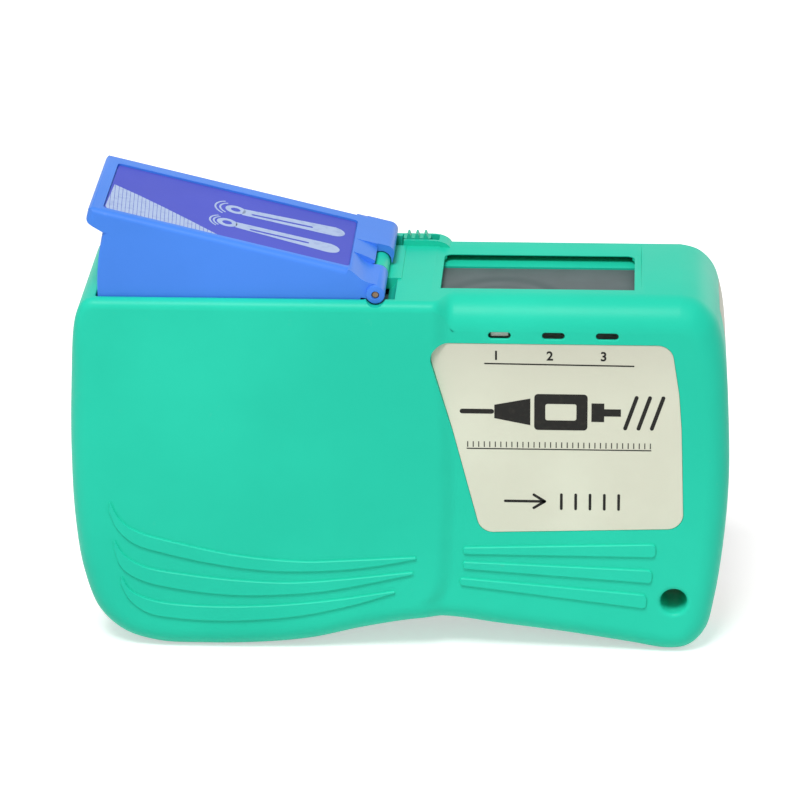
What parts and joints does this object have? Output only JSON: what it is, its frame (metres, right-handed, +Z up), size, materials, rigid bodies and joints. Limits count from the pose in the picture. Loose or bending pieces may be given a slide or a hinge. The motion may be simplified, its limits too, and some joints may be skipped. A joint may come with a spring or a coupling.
{
  "type": "fibre optic cleaning cassette",
  "caption": "Hand-held fibre connector cleaner: pressing the top lever opens a shutter over the window while an inner tape cartridge advances.",
  "frame": {"origin": "under the middle of the case, on the surface that the case stands on", "axes": "+X along the case towards the cleaning window, -Y out of the front face with the grip ribs, +Z up"},
  "size_m": [0.12, 0.034, 0.086],
  "materials": {
    "case_plastic": "fine satin moulding",
    "cover_plastic": "satin moulding",
    "latch_plastic": "satin moulding",
    "label_film": "printed film",
    "lever_plastic": "fine satin moulding",
    "lever_film": "printed film",
    "steel": "turned",
    "spring_steel": "drawn wire",
    "shutter_plastic": "satin moulding",
    "dark_acetal": "smooth acetal",
    "white_acetal": "smooth acetal",
    "reel_plastic": "smooth moulding",
    "pad_foam": "soft elastomer",
    "tape_cloth": "micro-fibre weave"
  },
  "bodies": {
    "case": {"front_case": "case_plastic", "label_plate": "label_film", "hinge_pin": "steel", "pivot_screws": "steel", "roller_pins": "steel", "cartridge_frame": "white_acetal", "guide_plate": "white_acetal", "cleaning_pad": "pad_foam", "cleaning_tape": "tape_cloth", "lever_spring": "spring_steel"},
    "cover": {"rear_cover": "cover_plastic"},
    "latch": {"cover_latch": "latch_plastic"},
    "lever_arm": {"lever": "lever_plastic", "lever_label": "lever_film", "pawl_pin": "steel"},
    "pawl": {"drive_pawl": "dark_acetal"},
    "stop": {"stop_pawl": "dark_acetal"},
    "crank": {"shutter_crank": "dark_acetal"},
    "shutter_plate": {"shutter": "shutter_plastic"},
    "takeup": {"takeup_spindle": "dark_acetal", "ratchet_wheel": "dark_acetal", "takeup_reel": "reel_plastic", "takeup_roll": "tape_cloth"},
    "supply": {"supply_reel": "reel_plastic", "supply_roll": "tape_cloth"},
    "left_roller": {"roller_left": "reel_plastic"},
    "right_roller": {"roller_right": "reel_plastic"}
  },
  "joints": [
    {"name": "lever_press", "type": "hinge", "parent": "case", "child": "lever_arm", "pos_m": [-0.0039, 0, 0.07025], "axis": [0, -1, 0], "range_deg": [0, 13.7], "stiffness_Nm_per_rad": 0.2, "springref_deg": -14.32, "deforming": ["lever_spring"]},
    {"name": "shutter_slide", "type": "slide", "parent": "case", "child": "shutter_plate", "axis": [-1, 0, 0], "range_m": [0, 0.0278]},
    {"name": "crank_swing", "type": "hinge", "parent": "case", "child": "crank", "pos_m": [-0.025, -0.012, 0.044], "axis": [0, -1, 0], "range_deg": [0, 75]},
    {"name": "pawl_swing", "type": "hinge", "parent": "lever_arm", "child": "pawl", "pos_m": [-0.00852, -0.012, 0.0513], "axis": [0, 1, 0], "range_deg": [0, 13.8]},
    {"name": "stop_pawl_lift", "type": "hinge", "parent": "case", "child": "stop", "pos_m": [0.0385, -0.012, 0.0425], "axis": [0, 1, 0], "range_deg": [0, 10], "stiffness_Nm_per_rad": 0.002, "springref_deg": -11.46},
    {"name": "takeup_turn", "type": "hinge", "parent": "case", "child": "takeup", "pos_m": [0.024, 0, 0.03], "axis": [0, 1, 0], "continuous": true},
    {"name": "supply_turn", "type": "hinge", "parent": "case", "child": "supply", "pos_m": [-0.03, 0, 0.027], "axis": [0, 1, 0], "continuous": true},
    {"name": "left_roller_turn", "type": "hinge", "parent": "case", "child": "left_roller", "pos_m": [0.00285, 0, 0.0617], "axis": [0, 1, 0], "continuous": true},
    {"name": "right_roller_turn", "type": "hinge", "parent": "case", "child": "right_roller", "pos_m": [0.04695, 0, 0.0617], "axis": [0, 1, 0], "continuous": true},
    {"name": "cover_open", "type": "hinge", "parent": "case", "child": "cover", "pos_m": [0, -0.0007, 0.0002], "axis": [-1, 0, 0], "range_deg": [0, 60]},
    {"name": "latch_slide", "type": "slide", "parent": "case", "child": "latch", "axis": [1, 0, 0], "range_m": [0, 0.0013]}
  ],
  "couplings": [
    {"joint": "shutter_slide", "follows": "lever_press", "m_per_rad": 0.116},
    {"joint": "crank_swing", "follows": "lever_press", "ratio": 5.474},
    {"joint": "pawl_swing", "follows": "lever_press", "ratio": 1},
    {"joint": "supply_turn", "follows": "takeup_turn", "ratio": 0.5405},
    {"joint": "left_roller_turn", "follows": "takeup_turn", "ratio": 4.545},
    {"joint": "right_roller_turn", "follows": "takeup_turn", "ratio": 4.545}
  ]
}
